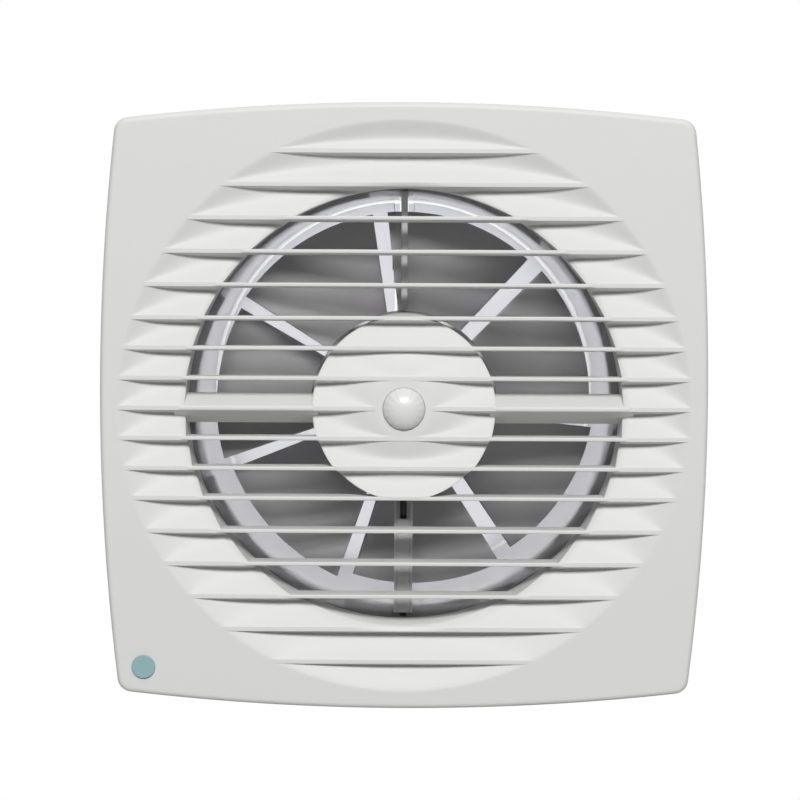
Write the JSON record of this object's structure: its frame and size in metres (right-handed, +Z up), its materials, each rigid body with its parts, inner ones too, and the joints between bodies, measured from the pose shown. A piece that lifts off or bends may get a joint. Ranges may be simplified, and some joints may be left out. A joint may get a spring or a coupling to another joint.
{
  "type": "wall extract fan",
  "caption": "Square wall extract fan with a louvred cover, a motion sensor lens in the middle, a clear duct, a bladed impeller and a back-draught shutter.",
  "frame": {"origin": "where the duct's axis meets the wall's surface", "axes": "+Y runs into the wall along the duct, the grille faces -Y, +Z is up"},
  "size_m": [0.2048, 0.1182, 0.2048],
  "materials": {
    "cover_plastic": "satin white moulding",
    "plate_plastic": "fine matt white moulding",
    "clear_plastic": "polished clear moulding",
    "frosted_plastic": "satin translucent moulding",
    "impeller_plastic": "satin grey moulding",
    "shutter_plastic": "fine matt white moulding",
    "lens_plastic": "milky translucent",
    "badge_plastic": "satin",
    "knob_plastic": "satin",
    "steel": "drawn and turned",
    "copper_wire": "enamelled winding",
    "magnet": "sintered dark",
    "circuit_board": "solder mask",
    "dark_plastic": "moulded",
    "capacitor_film": "dipped film",
    "soft_rubber": "moulded"
  },
  "bodies": {
    "housing": {"wall_plate": "plate_plastic", "duct_tube": "clear_plastic", "duct_flange": "clear_plastic", "motor_cup": "frosted_plastic", "strut_right": "frosted_plastic", "strut_top": "frosted_plastic", "strut_left": "frosted_plastic", "strut_bottom": "frosted_plastic", "duct_screw_1": "steel", "duct_screw_2": "steel", "duct_screw_3": "steel", "motor_can": "steel", "motor_end_plate": "steel", "stator_core": "steel", "winding_front": "copper_wire", "winding_rear": "copper_wire", "bearing_front": "steel", "bearing_rear": "steel", "sensor_board": "circuit_board", "sensor_can": "steel", "sensor_cable": "soft_rubber", "shutter_pin": "steel", "shutter_spring": "steel", "control_board": "circuit_board", "capacitor": "capacitor_film", "relay": "dark_plastic", "timer_base": "dark_plastic", "lux_base": "dark_plastic", "terminal_block": "plate_plastic", "cable_grommet": "soft_rubber", "cable_clamp": "plate_plastic", "clamp_screw_left": "steel", "clamp_screw_right": "steel"},
    "cover": {"cover_frame": "cover_plastic", "hub_disc": "cover_plastic", "upper_louvre_1": "cover_plastic", "upper_louvre_2": "cover_plastic", "upper_louvre_3": "cover_plastic", "upper_louvre_4": "cover_plastic", "upper_louvre_5": "cover_plastic", "upper_louvre_6": "cover_plastic", "lower_louvre_1": "cover_plastic", "lower_louvre_2": "cover_plastic", "lower_louvre_3": "cover_plastic", "lower_louvre_4": "cover_plastic", "lower_louvre_5": "cover_plastic", "lower_louvre_6": "cover_plastic", "beam_left": "cover_plastic", "beam_right": "cover_plastic", "sensor_lens": "lens_plastic", "lens_ring": "plate_plastic", "corner_badge": "badge_plastic"},
    "rotor": {"impeller": "impeller_plastic", "motor_shaft": "steel", "rotor_magnet": "magnet", "impeller_nut": "steel"},
    "left_flap": {"flap_left": "shutter_plastic"},
    "right_flap": {"flap_right": "shutter_plastic"},
    "timer": {"timer_knob": "knob_plastic"},
    "lux": {"lux_knob": "knob_plastic"}
  },
  "joints": [
    {"name": "impeller_spin", "type": "hinge", "parent": "housing", "child": "rotor", "pos_m": [0, 0, 0], "axis": [0, 1, 0], "continuous": true},
    {"name": "cover_pull", "type": "slide", "parent": "housing", "child": "cover", "axis": [0, -1, 0], "range_m": [0, 0.08]},
    {"name": "flap_left_swing", "type": "hinge", "parent": "housing", "child": "left_flap", "pos_m": [0, 0.0665, 0], "axis": [0, 0, -1], "range_deg": [0, 75], "stiffness_Nm_per_rad": 0.002},
    {"name": "flap_right_swing", "type": "hinge", "parent": "housing", "child": "right_flap", "pos_m": [0, 0.0665, 0], "axis": [0, 0, 1], "range_deg": [0, 75], "stiffness_Nm_per_rad": 0.002},
    {"name": "timer_turn", "type": "hinge", "parent": "housing", "child": "timer", "pos_m": [0.084, -0.014, -0.068], "axis": [0, -1, 0], "range_deg": [-135, 135]},
    {"name": "lux_turn", "type": "hinge", "parent": "housing", "child": "lux", "pos_m": [0.084, -0.014, -0.08], "axis": [0, -1, 0], "range_deg": [-135, 135]}
  ]
}
